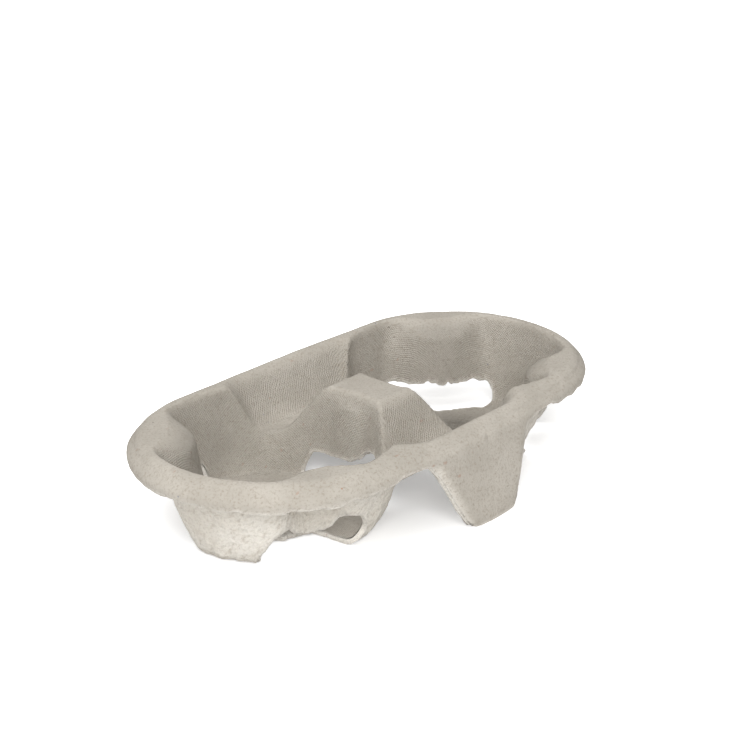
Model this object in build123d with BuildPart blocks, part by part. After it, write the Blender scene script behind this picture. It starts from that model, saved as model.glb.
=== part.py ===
from build123d import *
from math import cos, radians, sin, sqrt, tan
import os

# Two-cup carrier, one moulded-pulp sheet of even thickness.  Millimetres, +Z up.
# X runs through both pockets, the feet stand on Z = 0 and the origin is under the middle.
# The sheet is what lies between two moulds: the solid under its upper side and the solid under
# its lower side, both made by the same function at a different skin depth.  Every rounding is a
# few more sections of a loft, so that it follows its outline whatever the sizes are.

# Sheet
WALL = 2.2            # thickness of the pulp
CREST_Z = 36.0        # top of the rim and of the hump
FLANGE_DROP = 5.5     # fall of the flange from the crest to its edge
LIP_DROP = 3.0        # height of the lip turned down at the flange's edge

# Pockets
MOUTH_R = 44.5        # pocket radius at the crest
POCKET_TAPER = 8.8    # how much smaller the radius is at the floor
HUMP_WIDTH = 18.0     # between the two pocket mouths
NUB_BULGE = 7.0       # how far a nub stands past the chord between its corners, at the crest
NUB_FOOT_BULGE = 3.0  # the same at the floor
# Nubs, left pocket, in degrees: angle of the axis, half width at the crest, half width at the floor
NUBS = (
    (240.0, 18.2, 20.6),  # front nub, upright
    (130.0, 21.1, 42.0),  # back nub, a broad slope
)

# Rim
CREST_LAND = 3.5      # flat crest round a pocket
FLANGE_RUN = 4.7      # sloping flange round a pocket
CREST_BULGE = 0.6     # how far the long sides bow out, at the crest
FLANGE_BULGE = 3.3    # the same at the flange's edge

# Windows low in the pocket wall
WINDOWS = ((0.0, 27.0), (240.0, 27.0), (130.0, 44.0))  # left pocket: middle and half opening, degrees
WINDOW_HUB_R = 18.0   # floor left whole inside this radius
WINDOW_TOP = 11.5
WINDOW_DRAFT = 20.0   # degrees, the sides lean together upwards

# Trough on each side of the hump, a slot-shaped pit that opens into both pockets
TROUGH_DEPTH = 19.0
TROUGH_WIDTH = 30.4   # across the mouth, from the hump to the rim
TROUGH_INNER_RUN = 11.5  # plan width of its wall on the hump's side
TROUGH_OUTER_RUN = 6.5   # the same on the rim's side
TROUGH_HALF = 36.0    # half length at the mouth
TROUGH_END_RUN = 6.0  # plan width of its end walls

# Leg panels and the arch on each side of them
LEG_LEAN = 6.0        # how far the foot stands outside the flange's edge
LEG_FOOT = 13.8       # half width at the ground
LEG_SPREAD = 0.52     # sideways run of the panel edge per rise
LEG_STRAIGHT = 25.0   # height where the straight edge ends and the arch begins
ARCH_RISE = 2.7       # how far the arch's top lies above the lip's lower edge
ARCH_RUN = 16.0       # from the arch's top along the rim to the full lip

# Roundings
CREST_ROUND = 2.5
RIM_ROUND = 4.0
NUB_ROUND = 8.0       # corner between nub and pocket wall
FLOOR_ROUND = 4.0
FOOT_ROUND = 3.0
TROUGH_ROUND = 4.0
WINDOW_ROUND = 5.0
BEND_STEPS = 3        # flats that make up a rounding

HALF_PITCH = MOUTH_R + HUMP_WIDTH / 2
RIM_Z = CREST_Z - FLANGE_DROP
LIP_Z = RIM_Z - LIP_DROP
ARCH_Z = LIP_Z + ARCH_RISE
HUMP_HALF = MOUTH_R - TROUGH_WIDTH
CREST_R = MOUTH_R + CREST_LAND
CREST_W = CREST_R + CREST_BULGE
FLANGE_R = CREST_R + FLANGE_RUN
FLANGE_W = FLANGE_R + FLANGE_BULGE
LEG_Y = FLANGE_W + LEG_LEAN
SKIRT_SLOPE = LEG_LEAN / RIM_Z
POCKET_SLOPE = POCKET_TAPER / (CREST_Z - WALL)
OVER = 4.0            # overshoot of the cutting forms
BENDS = [radians(90) * n / BEND_STEPS for n in range(BEND_STEPS + 1)]


def oval(end_radius, half_width, height):
    """Plan outline: an arc around each pocket and shallow side arcs tangent to both."""
    side_r = (HALF_PITCH**2 + half_width**2 - end_radius**2) / (2 * (half_width - end_radius))
    reach = end_radius / (side_r - end_radius)
    tx, ty = HALF_PITCH * (1 + reach), (side_r - half_width) * reach
    tip = HALF_PITCH + end_radius
    with BuildSketch(Plane.XY.offset(height)) as outline:
        with BuildLine():
            ThreePointArc((-tx, ty), (0, half_width), (tx, ty))
            ThreePointArc((tx, ty), (tip, 0), (tx, -ty))
            ThreePointArc((tx, -ty), (0, -half_width), (-tx, -ty))
            ThreePointArc((-tx, -ty), (-tip, 0), (-tx, ty))
        make_face()
    return outline.sketch


def pocket_outline(height, skin, grow):
    """Plan outline of the left pocket about its axis: a circle with the nubs biting into it."""
    grow += skin * sqrt(1 + POCKET_SLOPE**2)
    share = (CREST_Z - height) / (CREST_Z - WALL)
    radius = MOUTH_R - POCKET_TAPER * share
    bulge = NUB_BULGE + (NUB_FOOT_BULGE - NUB_BULGE) * share
    with BuildSketch(Plane.XY.offset(height)) as outline:
        Circle(radius + grow)
        for angle, at_crest, at_floor in NUBS:
            half_width = radians(at_crest + (at_floor - at_crest) * share)
            tip = radius * cos(half_width) - bulge
            reach = (radius**2 - tip**2) / (2 * bulge)
            with PolarLocations(reach, 1, start_angle=angle):
                Circle(reach - tip - grow, mode=Mode.SUBTRACT)
        corners = outline.vertices().filter_by(lambda corner: corner.X < radius / 2)
        fillet(corners, NUB_ROUND + skin)
    return outline.sketch


def pocket(skin):
    """Space of the left pocket about its own axis, with rounded floor and mouth."""
    floor, low_round = (WALL, FLOOR_ROUND) if skin == 0 else (0.0, FOOT_ROUND)
    levels = [(floor + low_round * (1 - cos(a)), low_round * (sin(a) - 1)) for a in BENDS]
    if skin == 0:
        levels += [(CREST_Z - CREST_ROUND * (1 - sin(a)), CREST_ROUND * (1 - cos(a))) for a in BENDS]
        levels.append((CREST_Z + OVER, CREST_ROUND))
    else:
        levels.insert(0, (floor - OVER, levels[0][1]))
        levels.append((CREST_Z + OVER, 0.0))
    with BuildPart() as space:
        loft([pocket_outline(height, skin, grow) for height, grow in levels], ruled=True)
    return space.part


def trough(skin):
    """Space of the trough on the -Y side, its walls leaning out from the bed to the mouth."""
    bed = CREST_Z - TROUGH_DEPTH - skin
    levels = [(bed + TROUGH_ROUND * (1 - cos(a)), TROUGH_ROUND * (sin(a) - 1)) for a in BENDS]
    levels += [(CREST_Z - CREST_ROUND * (1 - sin(a)), CREST_ROUND * (1 - cos(a))) for a in BENDS]
    levels.append((CREST_Z + OVER, CREST_ROUND))
    with BuildPart() as space:
        for height, grow in levels:
            grow += skin
            share = (CREST_Z - height) / TROUGH_DEPTH
            near = HUMP_HALF + TROUGH_INNER_RUN * share - grow
            far = MOUTH_R - TROUGH_OUTER_RUN * share + grow
            with BuildSketch(Plane.XY.offset(height)):
                with Locations((0, -(near + far) / 2)):
                    SlotOverall(2 * (TROUGH_HALF - TROUGH_END_RUN * share + grow), far - near)
        loft(ruled=True)
    return space.part


def mould(skin):
    """Solid under one side of the sheet: skin 0 gives the upper side, WALL the lower side."""
    crest = CREST_Z - skin
    slope = FLANGE_DROP / (FLANGE_DROP + FLANGE_RUN + FLANGE_BULGE)
    rim = RIM_Z - skin * slope
    base = -skin / 2
    hem = (rim - base) * SKIRT_SLOPE
    round_share = (RIM_ROUND - skin) / FLANGE_RUN / 2
    skirt_share = (RIM_ROUND - skin) / rim / 2

    def section(up, down):
        """Part of the way up from the flange's edge to the crest, or down from it to the hem."""
        out = hem * down - skin * (1 - up) - skin * slope * up
        return oval(
            FLANGE_R + (CREST_R - FLANGE_R) * up + out,
            FLANGE_W + (CREST_W - FLANGE_W) * up + out,
            rim + (crest - rim) * up + (base - rim) * down,
        )

    with BuildPart() as form:
        sections = [section(0, 1)]
        for n in range(BEND_STEPS + 1):
            t = n / BEND_STEPS
            sections.append(section(round_share * t**2, skirt_share * (1 - t) ** 2))
        sections.append(section(1, 0))
        loft(sections, ruled=True)
        left = Pos(-HALF_PITCH, 0, 0) * pocket(skin)
        add([left, left.mirror(Plane.YZ)], mode=Mode.SUBTRACT)
        pit = trough(skin)
        add([pit, pit.mirror(Plane.XZ)], mode=Mode.SUBTRACT)
    return form.part


def skirt_trim():
    """Everything cut from the skirt, which leaves the lip, the arches and the two leg panels."""
    run = LEG_FOOT + LEG_STRAIGHT * LEG_SPREAD
    top = run + (ARCH_Z - LEG_STRAIGHT) / (sqrt(1 + LEG_SPREAD**2) - LEG_SPREAD)
    inner = FLANGE_R - WALL - FLANGE_RUN / 2
    far = 2 * HALF_PITCH + FLANGE_R
    over_crest = CREST_Z + OVER
    with BuildPart() as trim:
        with BuildSketch(Plane.XY.offset(-OVER)):
            Rectangle(2 * far, 2 * LEG_Y + 2 * FLANGE_R)
        extrude(amount=over_crest)
        extrude(oval(inner, inner + FLANGE_BULGE, -OVER), amount=over_crest + OVER, mode=Mode.SUBTRACT)
        with BuildSketch(Plane.XZ):
            with BuildLine():
                Polyline((0, over_crest), (far + OVER, over_crest), (far + OVER, LIP_Z))
                Polyline((far + OVER, LIP_Z), (top + ARCH_RUN, LIP_Z), (top, ARCH_Z))
                TangentArc((run, LEG_STRAIGHT), (top, ARCH_Z), tangent=(LEG_SPREAD, 1))
                Polyline((run, LEG_STRAIGHT), (LEG_FOOT - OVER * LEG_SPREAD, -OVER), (0, -OVER))
                mirror(about=Plane.YZ)
            make_face()
        extrude(amount=2 * LEG_Y, both=True, mode=Mode.SUBTRACT)
    return trim.part


def window(half_angle):
    """One window about the pocket axis, facing +X: an arch through the wall, a sector of the floor."""
    lean = WINDOW_TOP * tan(radians(WINDOW_DRAFT))
    with BuildPart() as gap:
        for radius in (WINDOW_HUB_R, HALF_PITCH + WALL):
            foot = radius * tan(radians(half_angle))
            with BuildSketch(Plane((radius, 0, 0), x_dir=(0, 1, 0), z_dir=(1, 0, 0))) as arch:
                with BuildLine():
                    Polyline((0, -OVER), (foot, -OVER), (foot, 0), (foot - lean, WINDOW_TOP), (0, WINDOW_TOP))
                    mirror(about=Plane.YZ)
                make_face()
                fillet(arch.vertices().group_by(Axis.Y)[-1], WINDOW_ROUND)
        loft(ruled=True)
    return gap.part


with BuildPart() as carrier:
    add(mould(0))
    add(mould(WALL), mode=Mode.SUBTRACT)
    add(skirt_trim(), mode=Mode.SUBTRACT)
    for angle, half_angle in WINDOWS:
        gap = Pos(-HALF_PITCH, 0, 0) * Rot(0, 0, angle) * window(half_angle)
        add([gap, gap.mirror(Plane.YZ)], mode=Mode.SUBTRACT)

carrier.part.label = "carrier"
os.makedirs("parts", exist_ok=True)
export_step(carrier.part, "parts/carrier.step")
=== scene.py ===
# %% [markdown]
# # A two-pocket carrier of moulded pulp
# The real carrier is one sheet of wet paper pulp, sucked onto a wire-covered mould and dried.
# Its upper side copies the mould: smooth on the rim, with the print of the wire in the pockets.
# Its lower side never touched a mould, so it is pale, lumpy and full of loose fibre.
# We load the measured model first. Everything that follows is fitted to its frame and its box.

# %% Load the measured model
import bpy
import numpy as np
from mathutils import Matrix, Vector


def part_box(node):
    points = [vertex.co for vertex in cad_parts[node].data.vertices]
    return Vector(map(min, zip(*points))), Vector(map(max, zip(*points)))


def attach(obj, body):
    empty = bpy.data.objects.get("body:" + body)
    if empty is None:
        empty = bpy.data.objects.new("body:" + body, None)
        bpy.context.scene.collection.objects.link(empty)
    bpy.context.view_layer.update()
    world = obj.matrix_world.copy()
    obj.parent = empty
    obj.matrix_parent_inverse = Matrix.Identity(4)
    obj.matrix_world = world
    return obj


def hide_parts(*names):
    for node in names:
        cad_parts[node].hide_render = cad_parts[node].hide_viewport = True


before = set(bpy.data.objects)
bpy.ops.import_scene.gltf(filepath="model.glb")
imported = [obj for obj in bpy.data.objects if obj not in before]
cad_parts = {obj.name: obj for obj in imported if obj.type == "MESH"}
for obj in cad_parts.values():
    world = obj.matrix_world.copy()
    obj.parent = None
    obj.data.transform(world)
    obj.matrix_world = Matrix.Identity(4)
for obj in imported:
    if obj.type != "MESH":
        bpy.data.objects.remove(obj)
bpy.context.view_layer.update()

low, high = (np.array(corner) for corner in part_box("carrier"))
print("carrier from", low.round(4), "to", high.round(4))

# %% [markdown]
# ## Sizes
# All lengths below are millimetres, and the finished mesh is scaled to metres once.
# The height of the crest and the reach of the leg panels come from the loaded model, and the rest
# are the carrier's own sizes. X runs through both pockets and Z points up.

# %% Sizes of the sheet
MM = 0.001
WALL = 2.2                       # thickness of the sheet
CREST_Z = high[2] / MM
LEG_Y = high[1] / MM             # outer face of a leg panel at the ground
HALF_PITCH = 53.5                # middle to pocket axis
RIM_Z, LIP_Z, ARCH_Z = 30.5, 27.5, 30.2   # flange edge, lower edge of its lip, top of the arches
FLANGE = (52.7, 56.0)            # flange edge: radius round a pocket, half width in the middle
CREST = (48.0, 48.6)             # outer side of the crest, the same two
MOUTH_R, POCKET_TAPER = 44.5, 8.8   # pocket radius at the crest, and how much less it is at the floor
TROUGH_Z = 17.0                  # bed of a trough
TROUGH_MOUTH = (31.0, 21.0, 16.9)   # distance from the middle, half straight length, half width
TROUGH_BED = (30.6, 23.8, 5.2)   # the same three at the bed
# leg panel: half width at the ground, how much it grows per mm up, and where its straight edge ends
LEG_FOOT, LEG_SPREAD, LEG_STRAIGHT = 13.8, 0.52, 25.0
ARCH_RUN = 16.0                  # from an arch's top along the rim to the full lip
print("crest at", CREST_Z.round(2), "and leg panels out to", LEG_Y.round(2))

# %% [markdown]
# ## Helpers for shaping
# Moulded pulp has no sharp edge: where two slopes meet, they melt into each other.
# A smooth minimum and a smooth maximum do this for heights. Loose, lumpy forms come from lattice
# noise: a random value at each corner of a grid of cubes, blended smoothly in between.

# %% Smooth minimum and maximum
def smooth_min(a, b, reach):
    """Lower of two heights; where they differ by less than reach, a parabola joins them."""
    share = np.clip(0.5 + 0.5 * (b - a) / reach, 0, 1)
    return b + (a - b) * share - reach * share * (1 - share)


def smooth_max(a, b, reach):
    """Higher of two heights, joined in the same way."""
    return -smooth_min(-a, -b, reach)


def ramp(value, start, end):
    """0 before start, 1 after end, and an S-curve in between."""
    t = np.clip((value - start) / (end - start), 0, 1)
    return t * t * (3 - 2 * t)


print("smooth minimum of 1 and 2", smooth_min(1.0, 2.0, 4.0))

# %% Lattice noise
CELL_MIX = np.array([374761393, 668265263, 2147483647])   # large odd numbers that scatter the bits
SEED_MIX, FIRST_MIX, SECOND_MIX = 1442695041, 1274126177, 2246822519
LOW_BITS = 0xFFFFFFFF


def lattice(cell, seed):
    """A random number from -1 to 1 for each whole-number cell corner, by mixing its bits."""
    mixed = cell.astype(np.int64) @ CELL_MIX + seed * SEED_MIX
    mixed = (mixed ^ (mixed >> 13)) * FIRST_MIX & LOW_BITS
    mixed = (mixed ^ (mixed >> 16)) * SECOND_MIX & LOW_BITS
    return (mixed ^ (mixed >> 15)) / 2.0**31 - 1


def noise(points, size, seed=0, octaves=1):
    """Sum of octaves: corner values of cubes of that size, blended by S-curves along each axis."""
    total = np.zeros(len(points))
    for octave in range(octaves):
        scaled = points * 2**octave / size
        base = np.floor(scaled)
        part = scaled - base
        part = part * part * (3 - 2 * part)
        for corner in np.ndindex(2, 2, 2):
            weight = np.prod(np.where(corner, part, 1 - part), axis=1)
            total += weight * lattice(base + corner, seed + octave) / 2**octave
    return total


print("noise spread", noise(np.random.default_rng(1).uniform(0, 90, (2000, 3)), 4.0).std().round(3))

# %% [markdown]
# ## The upper side as a height
# Seen from above, the carrier hides none of its own upper side, so its form is a height over the
# plan. The rim, the hump and the troughs make one land, the pocket walls and nubs another,
# and the carrier is the lower of the two. Writing it as heights keeps every edge rounded.

# %% Outline of the flange
def outside(x, y, oval):
    """Distance outside an oval of four tangent arcs: round a pocket at the ends, flatter at the sides."""
    end_radius, half_width = oval
    side_radius = (HALF_PITCH**2 + half_width**2 - end_radius**2) / (2 * (half_width - end_radius))
    drop = side_radius - half_width
    at_end = np.hypot(np.abs(x) - HALF_PITCH, y) - end_radius
    at_side = np.hypot(x, np.abs(y) + drop) - side_radius
    return np.where(HALF_PITCH * (np.abs(y) + drop) < drop * np.abs(x), at_end, at_side)


print("middle to the flange's edge", -outside(np.zeros(1), np.zeros(1), FLANGE).round(2))

# %% Height of the land
CREST_ROUND, EDGE_ROUND = 2.4, 2.6      # how softly the crest and the flange's edge turn over
BED_ROUND, TROUGH_ROUND = 6.0, 5.0      # the same for a trough's bed and its mouth


def trough_height(x, y):
    """Wall of the slot-shaped pit: the share of the way from its bed outline to its mouth outline."""
    def slot(shape):
        away, straight, half_width = shape
        return np.hypot(np.maximum(np.abs(x) - straight, 0), np.abs(y) - away) - half_width
    bed, mouth = slot(TROUGH_BED), slot(TROUGH_MOUTH)
    return TROUGH_Z + (CREST_Z - TROUGH_Z) * bed / (bed - mouth)


def land_height(x, y):
    """Crest, sloping flange and steep skirt outside it, with the two troughs pressed in."""
    past_crest, past_edge = outside(x, y, CREST), outside(x, y, FLANGE)
    width = past_crest - past_edge
    flange = CREST_Z - (CREST_Z - RIM_Z) * past_crest / width
    skirt = RIM_Z - past_edge * RIM_Z / (LEG_Y - FLANGE[1])
    land = smooth_min(smooth_min(CREST_Z, flange, CREST_ROUND), skirt, EDGE_ROUND)
    pit = smooth_max(trough_height(x, y), TROUGH_Z, BED_ROUND)
    return smooth_min(land, pit, TROUGH_ROUND)


print("land in a trough", land_height(np.zeros(1), np.full(1, TROUGH_BED[0])).round(2))

# %% [markdown]
# ## Pockets and nubs
# Two nubs grow out of the rim of each pocket to grip what stands in it, and a lower pad bulges from
# the hump. A nub is an arc in plan that bites into the pocket's circle. It grows wider and flatter on
# its way down, so the outline is known at each depth, and a point's height is the depth at which
# the outline passes through it.

# %% Pocket outline at a depth
# angle about the pocket axis, half width at the crest and at the floor in degrees, bulge at the floor
NUBS = ((247.0, 17.5, 20.6, 6.0), (130.0, 21.1, 42.0, 2.0))
NUB_BULGE = 7.0                         # about how far the arc stands past its chord at the crest
NUB_BELLY = 7.0                         # extra bulge below the crest, which makes the nub's top a ramp
BELLY_SWELLS = (-0.05, 0.20)            # shares of the depth between which it swells
BELLY_LESS = 0.20                       # part of it that is taken off again at every depth
NUB_ROUND = 6.0
CORNER_AT = 58.0                        # degrees either side of the hump where the wall is steepest
CORNER_FADES = (28.0, 6.0)              # degrees from there at which the steeper wall starts and is full
CORNER_POWER = 2.5                      # the greater, the lower down the wall is fullest


def pocket_gap(across, y, share):
    """Distance inside the outline at a share of the depth: circle and nub arcs, joined smoothly."""
    radius = MOUTH_R - POCKET_TAPER * share
    from_corner = np.abs(np.abs(np.degrees(np.arctan2(y, across))) - CORNER_AT)
    corner = ramp(from_corner, *CORNER_FADES)
    fuller = POCKET_TAPER * corner * (share - np.maximum(share, 0) ** CORNER_POWER)
    belly = NUB_BELLY * (ramp(share, *BELLY_SWELLS) - BELLY_LESS) * (1 - share)
    gap = radius + np.maximum(fuller, 0) - np.hypot(across, y)
    for angle, at_crest, at_floor, foot_bulge in NUBS:
        bulge = NUB_BULGE + (foot_bulge - NUB_BULGE) * share + belly
        half_width = np.radians(at_crest + (at_floor - at_crest) * share)
        tip = radius * np.cos(half_width) - bulge
        reach = (radius**2 - tip**2) / (2 * bulge)
        a = np.radians(angle)
        away = np.hypot(across - reach * np.cos(a), y - reach * np.sin(a))
        gap = smooth_min(gap, away - (reach - tip), NUB_ROUND)
    return gap


print("pocket radius", MOUTH_R, "at the crest and", round(MOUTH_R - POCKET_TAPER, 2), "at the floor")

# %% Height of the pockets
HALVINGS = 14
DEPTHS = (-0.35, 1.25)                                        # shares of the depth to search between
PAD_AXIS, PAD_R, PAD_LEAN, PAD_TOP = 61.0, 19.2, 0.20, 31.5   # pad on the hump's side
PAD_TOP_ROUND, PAD_ROUND, FLOOR_ROUND = 5.0, 4.5, 2.4


def pocket_height(x, y):
    """Depth found by halving: as long as the outline still holds the point, the wall lies deeper."""
    across = HALF_PITCH - np.abs(x)
    shallow, deep = (np.full(x.shape, share) for share in DEPTHS)
    for _ in range(HALVINGS):
        middle = (shallow + deep) / 2
        held = pocket_gap(across, y, middle) > 0
        shallow, deep = np.where(held, middle, shallow), np.where(held, deep, middle)
    wall = CREST_Z - (CREST_Z - WALL) * shallow
    pad = CREST_Z - (np.hypot(across - PAD_AXIS, y) - PAD_R) / PAD_LEAN
    wall = smooth_max(wall, smooth_min(pad, PAD_TOP, PAD_TOP_ROUND), PAD_ROUND)
    return smooth_max(wall, WALL, FLOOR_ROUND)


print("pocket floor", pocket_height(np.full(1, HALF_PITCH), np.zeros(1)).round(2))

# %% Height of the whole sheet
MOUTH_ROUND = 3.4                 # how softly the land turns down into a pocket
NUB_SOFTER, NUB_FADES = 1.5, (24.0, 9.0)       # more on the nubs: degrees off their axes, none and full
HUMP_SOFTER, HUMP_FADES = 4.0, (45.0, 25.0)    # and beside the hump: mm from the middle, none and full


def nub_share(x, y):
    """1 on the axis of a nub, 0 beyond its flanks, by the angle about the pocket axis."""
    angle = np.degrees(np.arctan2(y, HALF_PITCH - np.abs(x)))
    off = [np.abs((angle - middle + 180) % 360 - 180) for middle, _, _, _ in NUBS]
    return ramp(np.minimum(*off), *NUB_FADES)


def sheet_height(x, y):
    """Upper side of the carrier: the lower of the land and the pockets, softest beside the hump."""
    reach = MOUTH_ROUND + NUB_SOFTER * nub_share(x, y) + HUMP_SOFTER * ramp(np.abs(x), *HUMP_FADES)
    return smooth_min(land_height(x, y), pocket_height(x, y), reach)


print("height over the hump", sheet_height(np.zeros(1), np.zeros(1)).round(2),
      "in a pocket", sheet_height(np.array([-HALF_PITCH]), np.zeros(1)).round(2))

# %% [markdown]
# ## A grid of rays and rings
# A square grid would step badly on the steep walls. Rays from the pocket's axis cross every wall
# nearly at a right angle, so each half of the carrier is a fan of rays. Along each ray the rings stand
# at equal distances over the surface, walls included, so that steep parts get as many as flat ones.
# Over the flange, its fold and a leg's edge they have spacings of their own.

# %% Lower edge of the skirt
def lowest_edge(x):
    """Height where the skirt is cut: leg edge, round arch beside it, and a slope down to the lip."""
    pitch = np.hypot(1, LEG_SPREAD)
    run = LEG_FOOT + LEG_STRAIGHT * LEG_SPREAD
    arch_r = (ARCH_Z - LEG_STRAIGHT) / (1 - LEG_SPREAD / pitch)
    top = run + arch_r / pitch
    away = np.abs(x)
    straight = np.clip((away - LEG_FOOT) / LEG_SPREAD, 0, LEG_STRAIGHT)
    arch = ARCH_Z - arch_r + np.sqrt(np.maximum(arch_r**2 - (top - away)**2, 0))
    lip = np.maximum(ARCH_Z - (ARCH_Z - LIP_Z) * (away - top) / ARCH_RUN, LIP_Z)
    return np.where(away < run, straight, np.where(away < top, arch, lip))


print("edge at the leg, the arch and the end", lowest_edge(np.array([0.0, 32.0, 100.0])).round(1))

# %% Where each ray ends
RAYS, SAMPLES = 420, 900
LONGEST = 90.0                    # no ray is longer
LEAST_COS = 0.05                  # rays that run more across than this never reach the middle plane
SNAP = 0.8                        # a ray that ends this near the middle plane is taken up to it
NEVER_CUT = 1.0                   # nothing further inside the flange's edge than this is cut away
LEG_TEAR, LIP_TEAR, TEAR_GROWS = 0.15, 0.95, (4.0, 26.0)   # raggedness low on a leg, and more higher up

angles = np.linspace(-np.pi, np.pi, RAYS, endpoint=False) + np.pi / RAYS
for corner in np.arctan2([-LEG_Y, LEG_Y], HALF_PITCH):    # one ray through the middle of each foot
    angles[np.abs(angles - corner).argmin()] = corner
towards = np.cos(angles)
to_middle = np.where(towards > LEAST_COS, HALF_PITCH / np.maximum(towards, LEAST_COS), LONGEST)
reach = np.minimum(to_middle, LONGEST)[:, None] * np.linspace(0, 1, SAMPLES)


def on_ray(distance):
    """Plan position of points at a distance along each ray of the left half."""
    return -HALF_PITCH + distance * np.cos(angles)[:, None], distance * np.sin(angles)[:, None]


x, y = on_ray(reach)
plan = np.stack([x.ravel(), y.ravel(), 0 * x.ravel()], 1)
ragged = noise(plan, size=3.0, seed=11, octaves=3).reshape(x.shape)
cut_height = lowest_edge(x)
cut_height = cut_height + ragged * (LEG_TEAR + LIP_TEAR * ramp(cut_height, *TEAR_GROWS))
within = outside(x, y, FLANGE) < -NEVER_CUT
inside = within | (sheet_height(x, y) > cut_height)
last = np.argmin(np.concatenate([inside, np.zeros((RAYS, 1), bool)], 1), axis=1) - 1
ray_end = reach[np.arange(RAYS), last]
meets_middle = ray_end > to_middle - SNAP
ray_end = np.where(meets_middle, to_middle, ray_end)
print("rays to the middle", meets_middle.sum(), "longest ray", ray_end.max().round(1))

# %% Way over the surface
fine = ray_end[:, None] * np.linspace(0, 1, SAMPLES)
fx, fy = on_ray(fine)
fz = sheet_height(fx, fy)
steps = np.sqrt(np.diff(fx)**2 + np.diff(fy)**2 + np.diff(fz)**2)
travel = np.concatenate([np.zeros((RAYS, 1)), np.cumsum(steps, axis=1)], 1)


def first_past(oval, margin):
    """Distance along each ray to where it leaves an oval by a margin, or to the ray's end."""
    return fine[np.arange(RAYS), np.argmin(outside(fx, fy, oval) < margin, axis=1) - 1]


def travel_at(distance):
    """Way over the surface up to a distance along each ray."""
    return np.array([np.interp(d, f, t) for d, f, t in zip(distance, fine, travel)])[:, None]


print("longest way", travel[:, -1].max().round(1))

# %% Rings along each ray
INNER_RINGS, FLANGE_RINGS = 42, 8                 # up to the crest, and from there over the flange
EVEN_SHARES = np.arange(1, 7) / 6                 # below the flange's fold, on a short lip
LEG_SHARES = np.array([0.30, 0.58, 0.78, 0.90, 0.96, 1.0])   # and on a leg, closer near its edge
RINGS = INNER_RINGS + FLANGE_RINGS + len(LEG_SHARES)
CREST_SHARE, CREST_SOFT = 0.86, 4.0               # the crest's ring stays within this share of its ray
FOLD_PAST, FOLD_SHARE = 0.8, 0.75                 # past the flange's edge, or this far from crest to end
LIP_TO_LEG = (6.0, 20.0)                          # way below the fold: still a lip, and already a leg

crest = smooth_min(first_past(CREST, 0.0), CREST_SHARE * ray_end, CREST_SOFT)
fold = np.minimum(first_past(FLANGE, FOLD_PAST), crest + FOLD_SHARE * (ray_end - crest))
at_crest, at_fold, at_end = travel_at(crest), travel_at(fold), travel[:, -1:]
to_go = at_end - at_fold
shares = EVEN_SHARES + (LEG_SHARES - EVEN_SHARES) * ramp(to_go, *LIP_TO_LEG)
inner = at_crest * np.linspace(0, 1, INNER_RINGS + 1)[1:]
flange = at_crest + (at_fold - at_crest) * np.linspace(0, 1, FLANGE_RINGS + 1)[1:]
wanted = np.concatenate([inner, flange, at_fold + to_go * shares], 1)
distance = np.array([np.interp(w, t, d) for w, t, d in zip(wanted, travel, fine)])
gx, gy = on_ray(distance)
gz = sheet_height(gx, gy)
ring_steps = np.diff(wanted)
print("grid", gx.shape, "ring step", ring_steps.min().round(2), "to", ring_steps.max().round(2))

# %% [markdown]
# ## From one half to the whole sheet
# The right half mirrors the left one, and both share the points on the middle plane.
# A corner index for each grid point makes the faces: four corners each, and a fan at the axis.

# %% Points and faces of both halves
half_count = RAYS * RINGS + 1
left = np.concatenate([np.stack([gx, gy, gz], 2).reshape(-1, 3), [[-HALF_PITCH, 0, WALL]]])
points = np.concatenate([left, left * [-1, 1, 1]])
index = np.arange(RAYS * RINGS).reshape(RAYS, RINGS)
mirrored = index + half_count
mirrored[meets_middle, -1] = index[meets_middle, -1]


def fan(grid, hub, flip):
    """Quads between neighbouring rays and rings, and triangles (a corner twice) round the hub."""
    following = np.roll(grid, -1, axis=0)
    quads = np.stack([grid[:, :-1], grid[:, 1:], following[:, 1:], following[:, :-1]], 2).reshape(-1, 4)
    hub_fan = np.stack([np.full(RAYS, hub), grid[:, 0], following[:, 0], following[:, 0]], 1)
    made = np.concatenate([quads, hub_fan])
    return made[:, ::-1] if flip else made


faces = np.concatenate([fan(index, half_count - 1, False), fan(mirrored, 2 * half_count - 1, True)])
print("points", len(points), "faces", len(faces))

# %% [markdown]
# ## Windows torn in the walls
# Low in each pocket wall the mould lets no pulp settle, which leaves a window under each nub and one
# under the pad. The edge is torn, not cut. Faces inside a window are left out, with noise on its
# edge, and the points along the new edge are then evened out a little.

# %% Where the windows are
# inner and back window: middle and half opening in degrees, and how much higher one end is torn
WINDOWS = ((351.5, 35.5, 6.0), (130.0, 44.0, 0.0))
WINDOW_TOP, WINDOW_ROUND = 11.5, 4.0
WINDOW_LEAN = np.tan(np.radians(20.0))   # how much each side draws in per mm up
END_RISES = (1.5, -6.0)                  # mm to the side, from where the torn end rises to full
WINDOW_HUB = 18.0                        # no window comes nearer to the axis, but for its torn edge,
WINDOW_MARGIN = 1.8                      # nor to the circle of the pocket's mouth than this
FAR_OUT = -9.0                           # depth of a point far from every window
# the front window is torn higher at both ends, with a tongue left hanging: degrees and heights
FRONT_TOP = np.transpose((
    (211, -2.0), (213.5, 2.2), (216, 4.5), (221, 11.1), (226, 14.0), (230, 13.6), (235, 9.2), (245, 8.1),
    (253, 8.1), (261, 9.3), (264, 12.0), (266, 14.9), (268, 15.8), (272, 14.0), (276, 11.7), (281, 8.6),
    (284, -2.0),
))
FRONT_SILL = np.transpose(((270, -5.0), (271, 3.0), (275, 3.8), (279, 5.6), (281, 8.4), (284, 12.0)))


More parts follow.
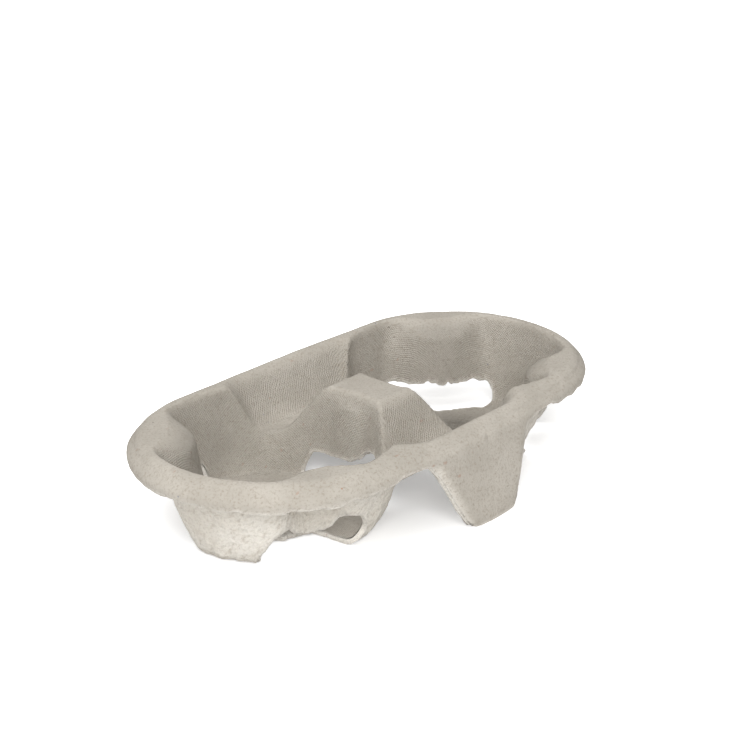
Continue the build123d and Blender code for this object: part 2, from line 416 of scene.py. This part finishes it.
def window_depth(p):
    """How far a point lies inside the nearest window: the least of its distances to sides, top, hub
    and mouth."""
    across, deepest = HALF_PITCH - np.abs(p[:, 0]), np.full(len(p), FAR_OUT)
    from_axis = np.hypot(across, p[:, 1])
    for middle, half, torn_end in WINDOWS:
        c, s = np.cos(np.radians(middle)), np.sin(np.radians(middle))
        out, side = across * c + p[:, 1] * s, p[:, 1] * c - across * s
        to_side = out * np.tan(np.radians(half)) - WINDOW_LEAN * p[:, 2] - np.abs(side)
        top = WINDOW_TOP + torn_end * ramp(side, *END_RISES)
        arch = smooth_min(to_side, top - p[:, 2], WINDOW_ROUND)
        deepest = np.maximum(deepest, np.minimum(arch, out - WINDOW_HUB))
    angle = np.degrees(np.arctan2(p[:, 1], across)) % 360
    under_top = np.interp(angle, *FRONT_TOP) - p[:, 2]
    over_sill = p[:, 2] - np.interp(angle, *FRONT_SILL)
    front = np.minimum(np.minimum(under_top, over_sill), from_axis - WINDOW_HUB)
    return np.minimum(np.maximum(deepest, front), MOUTH_R - WINDOW_MARGIN - from_axis)


depth = window_depth(points)
print("points inside a window", (depth > 0).sum())

# %% Leave out their faces
tear = 1.5 * noise(points, size=5.5, seed=21, octaves=2) + 0.4 * noise(points, size=1.8, seed=22)
kept = depth[faces].mean(1) + tear[faces].mean(1) < 0
faces = faces[kept]


def bend_along(p, quads):
    """Turns each quad's corner order so that it folds along the diagonal nearer to the sheet."""
    def miss(a, b):
        middle = (p[quads[:, a]] + p[quads[:, b]]) / 2
        return np.abs(sheet_height(middle[:, 0], middle[:, 1]) - middle[:, 2])
    turn = (miss(0, 2) > miss(1, 3)) & (quads[:, 2] != quads[:, 3]) & (quads[:, 0] != quads[:, 1])
    return np.where(turn[:, None], np.roll(quads, 1, axis=1), quads)


faces = bend_along(points, faces)
print("faces kept", len(faces))

# %% Even out the torn edges
EVEN_ROUNDS = 8


def open_edges(quads):
    """Edges that only one face uses, in that face's direction."""
    edges = np.stack([quads, np.roll(quads, -1, axis=1)], 2).reshape(-1, 2)
    edges = edges[edges[:, 0] != edges[:, 1]]
    size = edges.max() + 1
    key, back = edges[:, 0] * size + edges[:, 1], edges[:, 1] * size + edges[:, 0]
    return edges[~np.isin(key, back)]


def even_out(p, edges, rounds):
    """Moves each edge point halfway to the middle of its two neighbours along the edge."""
    for _ in range(rounds):
        total, count = np.zeros_like(p), np.zeros(len(p))
        for a, b in ((0, 1), (1, 0)):
            np.add.at(total, edges[:, a], p[edges[:, b]])
            np.add.at(count, edges[:, a], 1)
        ends = count == 2
        p[ends] = 0.5 * p[ends] + 0.25 * total[ends]
    return p


rim = open_edges(faces)
points = even_out(points, rim, EVEN_ROUNDS)
print("open edges", len(rim))

# %% [markdown]
# ## Thickness
# The lower side lies one wall thickness under the upper side, along its normals. Pulp is thicker
# in some places than in others, so noise moves the lower side, and the torn rim bulges between.

# %% Normals and the strip along the legs
PROBE = 0.1                       # step for slopes
LEG_BORDER, BORDER_BEND = 3.2, 1.3   # width of the strip along a leg's edges, and how far it bends back
BORDER_FULL, SKIRT_FULL = 0.4, 0.8   # mm from the leg's edge, and past the flange's, where it is full


def sheet_normals(x, y):
    """Upward normals of the height: (-dz/dx, -dz/dy, 1) at length 1."""
    dx = (sheet_height(x + PROBE, y) - sheet_height(x - PROBE, y)) / (2 * PROBE)
    dy = (sheet_height(x, y + PROBE) - sheet_height(x, y - PROBE)) / (2 * PROBE)
    return np.stack([-dx, -dy, np.ones_like(dx)], 1) / np.sqrt(dx**2 + dy**2 + 1)[:, None]


normal = sheet_normals(points[:, 0], points[:, 1])
leg_half = LEG_FOOT + points[:, 2] * LEG_SPREAD
to_leg_edge = (leg_half - np.abs(points[:, 0])) / np.hypot(1, LEG_SPREAD)
on_skirt = ramp(outside(points[:, 0], points[:, 1], FLANGE), 0.0, SKIRT_FULL)
border = on_skirt * ramp(to_leg_edge, LEG_BORDER, BORDER_FULL)
points = points - normal * (BORDER_BEND * border)[:, None]
print("border points", int((border > 0.5).sum()))

# %% Upper and lower side
waves = 0.16 * noise(points, size=11.0, seed=31, octaves=2) + 0.05 * noise(points, size=2.2, seed=33)
lumps = 0.30 * noise(points, size=4.2, seed=41, octaves=2) + 0.25 * noise(points, size=1.8, seed=43)
thickness = WALL + waves + lumps
upper = points + normal * waves[:, None]
lower = points - normal * (WALL + lumps)[:, None]
for skin in (upper, lower):
    skin[:, 2] = np.maximum(skin[:, 2], 0.0)
print("wall from", thickness.min().round(2), "to", thickness.max().round(2))

# %% Join the two sides
RIM_ROWS = ((0.25, 0.35), (0.6, 0.5), (0.85, 0.3))   # share of the way down the torn rim, and its bulge

count = len(points)
start, end = rim.T
outward = np.cross(points[end] - points[start], normal[start])
push = np.zeros_like(points)
np.add.at(push, start, outward)
np.add.at(push, end, outward)
push /= np.maximum(np.linalg.norm(push, axis=1, keepdims=True), 1e-9)
rim_points = np.unique(rim)
rows = []
for share, bulge in RIM_ROWS:
    row = upper[rim_points] * (1 - share) + lower[rim_points] * share
    fuzz = bulge + 0.22 * noise(row, size=0.9, seed=51) + 0.3 * noise(row, size=3.1, seed=52)
    rows.append(row + push[rim_points] * fuzz[:, None])
in_row = np.full(count, -1)
in_row[rim_points] = np.arange(len(rim_points))
between = [2 * count + n * len(rim_points) + in_row for n in range(len(rows))]
ladder = [np.arange(count), *between, np.arange(count) + count]
strip = [np.stack([a[end], a[start], b[start], b[end]], 1) for a, b in zip(ladder, ladder[1:])]
shell_points = np.concatenate([upper, lower, *rows])
shell_points[:, 2] = np.maximum(shell_points[:, 2], 0.0)
shell_faces = np.concatenate([faces, faces[:, ::-1] + count, *strip])
print("shell points", len(shell_points), "faces", len(shell_faces))


# %% Put the shell into a mesh
def mesh_from(name, p, quads):
    """Mesh in metres; a quad with one point twice, first or last, becomes a triangle."""
    triangle = quads[:, 2] == quads[:, 3]
    flipped = quads[:, 0] == quads[:, 1]
    sizes = np.where(triangle | flipped, 3, 4)
    corners = np.where(flipped[:, None], np.roll(quads, -1, axis=1), quads)
    keep = np.arange(4) < sizes[:, None]
    mesh = bpy.data.meshes.new(name)
    mesh.vertices.add(len(p))
    mesh.vertices.foreach_set("co", (p * MM).ravel())
    mesh.loops.add(int(sizes.sum()))
    mesh.loops.foreach_set("vertex_index", corners[keep])
    mesh.polygons.add(len(quads))
    mesh.polygons.foreach_set("loop_start", np.concatenate([[0], np.cumsum(sizes)[:-1]]))
    mesh.polygons.foreach_set("use_smooth", np.ones(len(quads), bool))
    mesh.update(calc_edges=True)
    mesh.validate()
    return mesh


used = np.unique(shell_faces)
renumber = np.full(len(shell_points), -1)
renumber[used] = np.arange(len(used))
sheet_mesh = mesh_from("pulp_sheet", shell_points[used], renumber[shell_faces])
shown = np.zeros_like(shell_points)
bent = border[:, None] > 0.02
shown[:count] = np.where(bent, 0, normal)   # length 0: worked out from the faces
sheet_mesh.normals_split_custom_set_from_vertices(shown[used])
sheet = bpy.data.objects.new("pulp_sheet", sheet_mesh)
bpy.context.scene.collection.objects.link(sheet)
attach(sheet, "root")
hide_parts("carrier")
print("triangles", sum(len(f.vertices) - 2 for f in sheet_mesh.polygons))

# %% [markdown]
# ## What the finish needs to know
# The finish differs over the sheet: the upper side is grey and printed by the wire, the lower side
# pale and rough, the torn edges paler still. Numbers stored on the points tell the material where
# it is on the sheet.

# %% Numbers on the points
EDGE_SIDE = 0.35                                # the torn edge, between lower side (0) and upper (1)
BORDER_TORN, UPPER_TORN, LOWER_TORN = 0.55, 0.7, 0.9   # paleness of the strip and of both rim lines
WIRE_INSIDE, WIRE_BELOW = (-1.0, -5.0), (36.5, 32.5)   # print: none and full, from the crest and by height
RIBBED_SPOT = np.array([77.5, -29.5, 33.5])     # where one nub has a few ribs, left by the mould
RIBS_FADE = (7.0, 3.5)                          # mm from there, none and full

edge_zeros = np.zeros(len(rows) * len(rim_points))
side = np.concatenate([np.ones(count), np.zeros(count), edge_zeros + EDGE_SIDE])
torn = np.concatenate([BORDER_TORN * border, np.zeros(count), edge_zeros + 1])
torn[rim_points] = UPPER_TORN
torn[rim_points + count] = LOWER_TORN
in_pocket = ramp(outside(points[:, 0], points[:, 1], CREST), *WIRE_INSIDE) * ramp(points[:, 2], *WIRE_BELOW)
wired = np.concatenate([in_pocket, np.zeros(count), edge_zeros])
past_edge = outside(shell_points[:, 0], shell_points[:, 1], FLANGE)
ribbed = ramp(np.linalg.norm(shell_points - RIBBED_SPOT, axis=1), *RIBS_FADE) * side
numbers = {"upper_side": side, "torn": torn, "wired": wired, "past_edge": past_edge, "ribbed": ribbed}
for name, values in numbers.items():
    stored = sheet_mesh.attributes.new(name, "FLOAT", "POINT")
    stored.data.foreach_set("value", values[used].astype(np.float32))
print("stored", *numbers)


# %% [markdown]
# ## Shader arithmetic
# A material is a sum of small patterns. Written with plain + and *, it reads like the sentence
# that describes it, so one class wraps a socket and adds a Math node for each operation.

# %% A socket with arithmetic
class Wire:
    """An output of a node tree. Arithmetic on wires adds Math nodes."""

    def __init__(self, tree, socket=None):
        self.tree, self.socket = tree, socket

    def add(self, kind, settings, sockets, out=0):
        """A new node: its settings first, then a value or a wire for each input."""
        node = self.tree.nodes.new(kind)
        for key, value in settings.items():
            setattr(node, key, value)
        for key, value in sockets.items():
            if isinstance(value, Wire):
                self.tree.links.new(value.socket, node.inputs[key])
            else:
                node.inputs[key].default_value = value
        return Wire(self.tree, node.outputs[out])

    def math(self, operation, *values):
        return self.add("ShaderNodeMath", {"operation": operation}, dict(enumerate(values)))

    def __add__(self, other):
        return self.math("ADD", self, other)

    def __sub__(self, other):
        return self.math("SUBTRACT", self, other)

    def __rsub__(self, other):
        return self.math("SUBTRACT", other, self)

    def __mul__(self, other):
        return self.math("MULTIPLY", self, other)

    def __lt__(self, other):
        return self.math("LESS_THAN", self, other)

    __radd__, __rmul__ = __add__, __mul__

    def sine(self):
        return self.math("SINE", self)

    def ramp(self, start, end):
        """S-curve from 0 at start to 1 at end."""
        return self.add("ShaderNodeMapRange", {"interpolation_type": "SMOOTHSTEP"},
                        {"Value": self, "From Min": start, "From Max": end})

    def mix(self, first, second):
        """Colour between first, where this wire is 0, and second, where it is 1."""
        return self.add("ShaderNodeMix", {"data_type": "RGBA"}, {0: self, 6: first, 7: second}, 2)

    def noise(self, place, size_mm, detail=2.0, rough=0.5):
        return self.add("ShaderNodeTexNoise", {}, {"Vector": place, "Scale": 1 / (size_mm * MM),
                                                   "Detail": detail, "Roughness": rough})

    def attribute(self, name):
        return self.add("ShaderNodeAttribute", {"attribute_name": name}, {}, "Fac")


def new_material(name):
    """A material with its shader node, and a wire to build the rest with."""
    material = bpy.data.materials.new(name)
    material.use_nodes = True
    return material, material.node_tree.nodes["Principled BSDF"], Wire(material.node_tree)


print("a wire can", *(name for name in vars(Wire) if not name.startswith("_")))

# %% [markdown]
# ## The pulp
# Waste-paper pulp is a warm grey with clouds of lighter fibre, and a few coloured threads and dark
# specks from old print. It has no shine at all. The bump adds what is too fine for the mesh: felted
# fibre everywhere, the wire's print in the pockets, and coarse clumps on the lower side.

# %% Colours of the pulp
def linear(red, green, blue):
    """A colour as written on a colour card, 0 to 255, in the light values that shaders use."""
    share = np.array([red, green, blue]) / 255
    return (*np.where(share > 0.04045, ((share + 0.055) / 1.055) ** 2.4, share / 12.92), 1.0)


UPPER_GREY, UPPER_PALE = linear(175, 169, 159), linear(187, 181, 171)
# the lower side's darkest colour is painted shade, laid between its raised strands
LOWER_STRAND_PAINTED_SHADE, LOWER_CREAM = linear(210, 202, 190), linear(226, 220, 209)
LOWER_PALE, TORN_PALE = linear(236, 231, 222), linear(230, 225, 216)
FLECK, RUST = linear(150, 139, 125), linear(160, 112, 88)
SLATE, INK = linear(105, 110, 130), linear(78, 70, 64)
# tint, cell in mm, size and share of the cells that have one, stretch, strength
SPECKS = (
    (RUST, 4.4, 0.10, 0.05, (1, 1, 1), 0.75),
    (RUST, 6.0, 0.22, 0.10, (1, 3, 1.6), 0.30),
    (INK, 5.2, 0.07, 0.07, (1, 1, 1), 0.80),
    (SLATE, 7.3, 0.08, 0.07, (2.2, 1, 1), 0.60),
)
print("kinds of specks", len(SPECKS))

# %% Patterns of fibre, specks and wire
WIRE_TURNS = 230                  # wires round a pocket
WIRE_PITCH = 1.25                 # mm of rise and run from wire to wire
WIRE_SWAY, SWAY_SIZE = 3.5, 4.0   # how far the wires stray, in radians, and over how many mm
WIRE_BEYOND = 1.5                 # mm past the pocket's mouth where the trough's print has taken over


def turned(tree, place, rotation, stretch):
    """Coordinates turned and then stretched, for patterns that run one way."""
    return tree.add("ShaderNodeMapping", {"vector_type": "TEXTURE"},
                    {"Vector": place, "Rotation": rotation, "Scale": stretch})


def fibres(tree, place):
    """Noise of five kinds, each with its size in mm, its detail and its roughness."""
    clouds = tree.noise(place, 20.0, 3.0, 0.55).ramp(0.32, 0.70)
    felt = tree.noise(place, 0.9, 5.0, 0.7)
    streaks = tree.noise(turned(tree, place, (0, 0, 0.9), (1, 4.5, 1)), 1.5, 3.0, 0.6)
    strands = tree.noise(turned(tree, place, (0.785, 0, 0.707), (1, 1, 2.4)), 1.7, 5.0, 0.62)
    clumps = tree.noise(place, 3.6, 3.0, 0.55)
    return clouds, felt, streaks, strands, clumps


def specks(tree, place, cell_mm, size, share, stretch):
    """Dots at the middle of some cells of a cell pattern: near the middle, and in a lucky cell."""
    laid = tree.add("ShaderNodeMapping", {}, {"Vector": place, "Scale": stretch})
    cell = {"Vector": laid, "Scale": 1 / (cell_mm * MM)}
    near = tree.add("ShaderNodeTexVoronoi", {}, cell, "Distance")
    lucky = tree.add("ShaderNodeTexVoronoi", {}, cell, "Color")
    pick = tree.add("ShaderNodeSeparateColor", {}, {"Color": lucky}, "Red")
    return (1 - near.ramp(size * 0.5, size)) * (pick < share)


def wire_print(tree, place):
    """Staggered dimples and plain ribs. In a pocket they run round its axis and up its wall, and
    in the troughs along the carrier and up."""
    x, y, z = (tree.add("ShaderNodeSeparateXYZ", {}, {"Vector": place}, axis) for axis in "XYZ")
    across = HALF_PITCH * MM - x.math("ABSOLUTE", x)
    radius = x.math("SQRT", across * across + y * y)
    sway = tree.noise(place, SWAY_SIZE) * WIRE_SWAY
    wave = 2 * np.pi / (WIRE_PITCH * MM)
    ribs = ((radius + z) * wave + sway).sine()
    pocket = (x.math("ARCTAN2", y, across) * WIRE_TURNS + sway).sine() * ribs
    trough = (x * wave + sway * 2).sine() * (z * wave - sway * 2).sine()
    beyond = radius.ramp(MOUTH_R * MM, (MOUTH_R + WIRE_BEYOND) * MM)
    return pocket * (1 - beyond) + trough * beyond, ribs


print("wires along the mouth every", round(2 * np.pi * MOUTH_R / WIRE_TURNS, 2), "mm")

# %% Material of the sheet
TORN_COVER = 0.8                  # how much of the colour a torn edge hides
STREAK_FLECKS, FELT_FLECKS, FEWER_BELOW = 0.20, 0.55, 0.55   # and what the lower side lacks of both
BUMP_DEPTH = 0.8                  # mm for a relief of 1, of which each pattern has a share:
FELT_HIGH, STREAKS_HIGH, CLUMPS_HIGH = 0.34, 0.10, 0.25
DIMPLES_HIGH, RIBS_HIGH, GROOVE_DEEP = 0.20, 0.22, 0.22
STRANDS_BELOW, CLUMPS_BELOW = 1.7, 0.8   # more on the lower side
GROOVE = (-3.6, -2.6, -1.6)       # mm past the flange's edge: start, deepest line and end of a groove


def pulp_colour(tree, place, fibre, upper):
    """Grey above and cream below with painted shade between its raised strands, paler where torn, with
    flecks, threads and specks laid over it.
    """
    clouds, felt, streaks, strands, _ = fibre
    # painted shade: the lower side darkens where its strands lie low, between the raised ones in the bump
    cream = strands.ramp(0.30, 0.52).mix(LOWER_STRAND_PAINTED_SHADE, clouds.mix(LOWER_CREAM, LOWER_PALE))
    colour = upper.mix(cream, clouds.mix(UPPER_GREY, UPPER_PALE))
    colour = (tree.attribute("torn") * TORN_COVER).mix(colour, TORN_PALE)
    flecks = streaks.ramp(0.50, 0.72) * STREAK_FLECKS + felt.ramp(0.48, 0.66) * FELT_FLECKS
    colour = (flecks * (1 - (1 - upper) * FEWER_BELOW)).mix(colour, FLECK)
    for tint, cell, size, share, stretch, strength in SPECKS:
        colour = (specks(tree, place, cell, size, share, stretch) * strength).mix(colour, tint)
    return colour


def pulp_relief(tree, place, fibre, upper):
    """Felt everywhere, wire print and ribs where stored, a groove on the flange, strands below."""
    _, felt, streaks, strands, clumps = fibre
    dimples, ribs = wire_print(tree, place)
    relief = felt * FELT_HIGH + streaks * STREAKS_HIGH + clumps * CLUMPS_HIGH
    relief = relief + dimples * tree.attribute("wired") * DIMPLES_HIGH
    relief = relief + ribs * tree.attribute("ribbed") * RIBS_HIGH
    start, deepest, end = GROOVE
    past_edge = tree.attribute("past_edge")
    groove = past_edge.ramp(start, deepest) - past_edge.ramp(deepest, end)
    relief = relief - groove * upper * GROOVE_DEEP
    return relief + (strands * STRANDS_BELOW + clumps * CLUMPS_BELOW) * (1 - upper)


def pulp_material():
    """Pulp on Object coordinates, told by the stored numbers where it is."""
    material, shader, tree = new_material("moulded_pulp")
    place = tree.add("ShaderNodeTexCoord", {}, {}, "Object")
    upper = tree.attribute("upper_side")
    fibre = fibres(tree, place)
    colour = pulp_colour(tree, place, fibre, upper)
    relief = pulp_relief(tree, place, fibre, upper)
    bump = tree.add("ShaderNodeBump", {},
                    {"Height": relief, "Strength": 1.0, "Distance": BUMP_DEPTH * MM}, "Normal")
    ports = shader.inputs
    material.node_tree.links.new(colour.socket, ports["Base Color"])
    material.node_tree.links.new(bump.socket, ports["Normal"])
    ports["Roughness"].default_value = 0.95
    ports["Specular IOR Level"].default_value = 0.12
    return material


sheet_mesh.materials.append(pulp_material())
print("pulp nodes", len(sheet_mesh.materials[0].node_tree.nodes))

# %% [markdown]
# ## Floor, light and camera
# The carrier stands on a white sweep in soft light that comes mostly from the upper left.
# The floor keeps the shadow and adds a little light of its own for the camera alone, so that it
# ends in white; near the carrier it adds less, which paints shade on the floor round the carrier.
# The camera's place and lens are the ones that lay the rim and feet of the measured model over the
# picture.

# %% Floor and world
BLACK, WHITE = (0, 0, 0, 1), (1, 1, 1, 1)
FLOOR_HALF = 6.0                  # metres from the middle to each side
FLOOR_GREY = (0.82, 0.82, 0.82, 1)
GLOW_NEAR_PAINTING_SHADE, GLOW_MORE = 0.30, 0.70           # the floor's own light under the carrier, low there to paint shade, and more far off
GLOW_GROWS = (0.55, 1.45)                   # between these distances, in half sizes of the carrier
WORLD_LIGHT = 0.45


def seen_rays(tree):
    """1 for rays from the camera and for what mirrors or glass would show it, else 0."""
    camera_ray, glossy_ray, glass_ray = (
        tree.add("ShaderNodeLightPath", {}, {}, f"Is {kind} Ray")
        for kind in ("Camera", "Glossy", "Transmission"))
    return tree.math("MAXIMUM", camera_ray, tree.math("MAXIMUM", glossy_ray, glass_ray))


def white_floor():
    """Large white plane; camera, mirror and glass rays see it a little brighter than it is lit, least so
    near the carrier, which paints shade round it.
    """
    corners = np.array([[-1, -1, 0], [1, -1, 0], [1, 1, 0], [-1, 1, 0]]) * FLOOR_HALF
    mesh = bpy.data.meshes.new("floor")
    mesh.from_pydata(corners.tolist(), [], [(0, 1, 2, 3)])
    floor = bpy.data.objects.new("floor", mesh)
    bpy.context.scene.collection.objects.link(floor)
    material, shader, tree = new_material("white_sweep")
    place = tree.add("ShaderNodeTexCoord", {}, {}, "Object")
    shrunk = tree.add("ShaderNodeMapping", {}, {"Vector": place, "Scale": (1 / high[0], 1 / high[1], 1)})
    away = tree.add("ShaderNodeVectorMath", {"operation": "LENGTH"}, {0: shrunk}, "Value")
    # painted shade: the floor's own light is lower near the carrier, which darkens the floor round it
    glow = seen_rays(tree) * (GLOW_NEAR_PAINTING_SHADE + away.ramp(*GLOW_GROWS) * GLOW_MORE)
    ports = shader.inputs
    material.node_tree.links.new(glow.mix(BLACK, WHITE).socket, ports["Emission Color"])
    ports["Emission Strength"].default_value = 1.0
    ports["Base Color"].default_value = FLOOR_GREY
    ports["Roughness"].default_value = 1.0
    ports["Specular IOR Level"].default_value = 0.0
    mesh.materials.append(material)
    return floor


def white_world(strength):
    """Even light from all round; rays from the camera see plain white."""
    world = bpy.data.worlds.new("studio")
    world.use_nodes = True
    bpy.context.scene.world = world
    background = world.node_tree.nodes["Background"]
    lit = seen_rays(Wire(world.node_tree)).mix((strength, strength, strength, 1), WHITE)
    world.node_tree.links.new(lit.socket, background.inputs["Color"])
    return world


floor, world = white_floor(), white_world(WORLD_LIGHT)
print("stage", floor.name, "and", world.name)

# %% Lamps
LAMP_AIM = (0, 0, 0.02)
# name, place in metres, side of the square in metres, watts
LAMPS = (
    ("key_left", (-0.72, -0.80, 0.85), 0.5, 8.5),
    ("fill_top", (-0.3, 0.2, 1.2), 0.8, 6.5),
    ("fill_low", (-0.80, -0.62, 0.28), 0.6, 2.3),
)


def soft_lamp(name, place, size, watts):
    """Square area lamp at a place, turned to the carrier."""
    data = bpy.data.lights.new(name, "AREA")
    data.size, data.energy = size, watts
    lamp = bpy.data.objects.new(name, data)
    lamp.location = place
    lamp.rotation_euler = (Vector(LAMP_AIM) - Vector(place)).to_track_quat("-Z", "Y").to_euler()
    bpy.context.scene.collection.objects.link(lamp)
    return lamp


lamps = [soft_lamp(*lamp) for lamp in LAMPS]
print("lamps", [lamp.name for lamp in lamps])

# %% Camera
IMAGE = 750                       # pixels along each side of the picture
FOCAL = 1686.0                    # focal length in those pixels
CAMERA_AT = (-454.80, -389.91, 275.69)
CAMERA_AIM = (11.4, 7.0, 35.5)

camera_data = bpy.data.cameras.new("camera")
camera_data.sensor_width = 36.0
camera_data.lens = camera_data.sensor_width * FOCAL / IMAGE
camera = bpy.data.objects.new("camera", camera_data)
camera.location = Vector(CAMERA_AT) * MM
aim = Vector(CAMERA_AIM) * MM
camera.rotation_euler = (aim - camera.location).to_track_quat("-Z", "Y").to_euler()
bpy.context.scene.collection.objects.link(camera)
bpy.context.scene.camera = camera
bpy.context.scene.view_settings.view_transform = "Standard"
print("lens", round(camera_data.lens, 2))

# %% [markdown]
